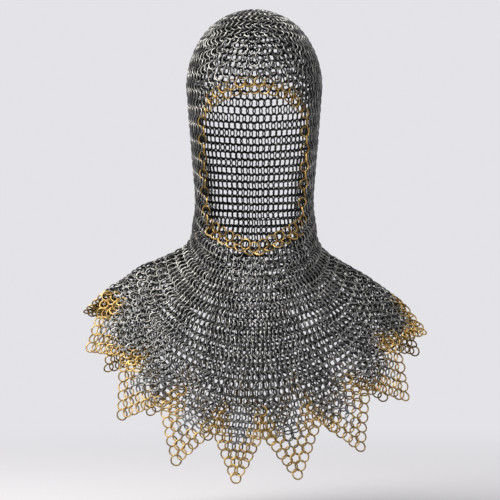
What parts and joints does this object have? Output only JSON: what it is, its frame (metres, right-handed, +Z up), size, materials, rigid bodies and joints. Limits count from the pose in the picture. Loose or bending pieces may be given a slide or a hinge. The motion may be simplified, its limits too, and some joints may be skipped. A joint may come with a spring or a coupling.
{
  "type": "mail coif",
  "caption": "Mail hood with an open face and a cape over the shoulders, steel rings edged with brass and cut into pointed dags.",
  "frame": {"origin": "inside of the crown, where the wearer's head holds the coif up", "axes": "+Z up the body, -Y out of the face opening, +X to the right of someone who looks at the face"},
  "size_m": [0.3953, 0.227, 0.5318],
  "materials": {
    "oiled_steel": "oiled dark steel wire",
    "brass": "satin brass wire, lightly toned"
  },
  "bodies": {
    "hood_and_mantle": {"hood_crown": "oiled_steel", "hood_forehead": "oiled_steel", "hood_left": "oiled_steel", "hood_right": "oiled_steel", "hood_back": "oiled_steel", "throat": "oiled_steel", "neck_left": "oiled_steel", "neck_right": "oiled_steel", "neck_back": "oiled_steel", "mantle_gore_1": "oiled_steel", "mantle_gore_2": "oiled_steel", "mantle_gore_3": "oiled_steel", "mantle_gore_4": "oiled_steel", "mantle_gore_5": "oiled_steel", "mantle_gore_6": "oiled_steel", "mantle_gore_7": "oiled_steel", "mantle_gore_8": "oiled_steel", "hem_front": "brass", "hem_right": "brass", "hem_back": "brass", "hem_left": "brass", "brow_edging": "brass", "cheek_edging_left": "brass", "cheek_edging_right": "brass", "chin_edging": "brass"},
    "dag_01": {"dag_01_field": "oiled_steel", "dag_01_edging": "brass"},
    "dag_02": {"dag_02_field": "oiled_steel", "dag_02_edging": "brass"},
    "dag_03": {"dag_03_field": "oiled_steel", "dag_03_edging": "brass"},
    "dag_04": {"dag_04_field": "oiled_steel", "dag_04_edging": "brass"},
    "dag_05": {"dag_05_field": "oiled_steel", "dag_05_edging": "brass"},
    "dag_06": {"dag_06_field": "oiled_steel", "dag_06_edging": "brass"},
    "dag_07": {"dag_07_field": "oiled_steel", "dag_07_edging": "brass"},
    "dag_08": {"dag_08_field": "oiled_steel", "dag_08_edging": "brass"},
    "dag_09": {"dag_09_field": "oiled_steel", "dag_09_edging": "brass"},
    "dag_10": {"dag_10_field": "oiled_steel", "dag_10_edging": "brass"},
    "dag_11": {"dag_11_field": "oiled_steel", "dag_11_edging": "brass"},
    "dag_12": {"dag_12_field": "oiled_steel", "dag_12_edging": "brass"},
    "dag_13": {"dag_13_field": "oiled_steel", "dag_13_edging": "brass"},
    "dag_14": {"dag_14_field": "oiled_steel", "dag_14_edging": "brass"},
    "dag_15": {"dag_15_field": "oiled_steel", "dag_15_edging": "brass"},
    "dag_16": {"dag_16_field": "oiled_steel", "dag_16_edging": "brass"}
  },
  "joints": [
    {"name": "dag_01_swing", "type": "hinge", "parent": "hood_and_mantle", "child": "dag_01", "pos_m": [-0.01847, -0.10502, -0.47663], "axis": [-0.9928, 0.0645, 0.1006], "range_deg": [0, 70]},
    {"name": "dag_02_swing", "type": "hinge", "parent": "hood_and_mantle", "child": "dag_02", "pos_m": [0.0421, -0.10182, -0.47235], "axis": [-0.9667, -0.1477, -0.2088], "range_deg": [0, 70]},
    {"name": "dag_03_swing", "type": "hinge", "parent": "hood_and_mantle", "child": "dag_03", "pos_m": [0.10291, -0.08411, -0.44683], "axis": [-0.7811, -0.3541, -0.5142], "range_deg": [0, 70]},
    {"name": "dag_04_swing", "type": "hinge", "parent": "hood_and_mantle", "child": "dag_04", "pos_m": [0.14856, -0.05287, -0.39986], "axis": [-0.4594, -0.4837, -0.7449], "range_deg": [0, 70]},
    {"name": "dag_05_swing", "type": "hinge", "parent": "hood_and_mantle", "child": "dag_05", "pos_m": [0.16992, -0.01297, -0.35137], "axis": [-0.1373, -0.7287, -0.6709], "range_deg": [0, 70]},
    {"name": "dag_06_swing", "type": "hinge", "parent": "hood_and_mantle", "child": "dag_06", "pos_m": [0.16459, 0.03066, -0.35915], "axis": [0.278, -0.57, 0.7732], "range_deg": [0, 70]},
    {"name": "dag_07_swing", "type": "hinge", "parent": "hood_and_mantle", "child": "dag_07", "pos_m": [0.13353, 0.06643, -0.40636], "axis": [0.6363, -0.4759, 0.6071], "range_deg": [0, 70]},
    {"name": "dag_08_swing", "type": "hinge", "parent": "hood_and_mantle", "child": "dag_08", "pos_m": [0.08213, 0.09231, -0.43883], "axis": [0.8875, -0.292, 0.3565], "range_deg": [0, 70]},
    {"name": "dag_09_swing", "type": "hinge", "parent": "hood_and_mantle", "child": "dag_09", "pos_m": [0.01823, 0.10436, -0.45346], "axis": [0.995, -0.0642, 0.0761], "range_deg": [0, 70]},
    {"name": "dag_10_swing", "type": "hinge", "parent": "hood_and_mantle", "child": "dag_10", "pos_m": [-0.04843, 0.10074, -0.4482], "axis": [0.9582, 0.1702, -0.2301], "range_deg": [0, 70]},
    {"name": "dag_11_swing", "type": "hinge", "parent": "hood_and_mantle", "child": "dag_11", "pos_m": [-0.1077, 0.082, -0.42236], "axis": [0.7679, 0.3739, -0.5202], "range_deg": [0, 70]},
    {"name": "dag_12_swing", "type": "hinge", "parent": "hood_and_mantle", "child": "dag_12", "pos_m": [-0.15054, 0.05102, -0.37772], "axis": [0.452, 0.5003, -0.7385], "range_deg": [0, 70]},
    {"name": "dag_13_swing", "type": "hinge", "parent": "hood_and_mantle", "child": "dag_13", "pos_m": [-0.16994, 0.01196, -0.33465], "axis": [0.1368, 0.7877, -0.6006], "range_deg": [0, 70]},
    {"name": "dag_14_swing", "type": "hinge", "parent": "hood_and_mantle", "child": "dag_14", "pos_m": [-0.16346, -0.03198, -0.35556], "axis": [-0.2449, 0.4799, 0.8425], "range_deg": [0, 70]},
    {"name": "dag_15_swing", "type": "hinge", "parent": "hood_and_mantle", "child": "dag_15", "pos_m": [-0.13018, -0.0686, -0.41811], "axis": [-0.5921, 0.4184, 0.6887], "range_deg": [0, 70]},
    {"name": "dag_16_swing", "type": "hinge", "parent": "hood_and_mantle", "child": "dag_16", "pos_m": [-0.07678, -0.09399, -0.45926], "axis": [-0.8709, 0.2632, 0.4152], "range_deg": [0, 70]}
  ]
}
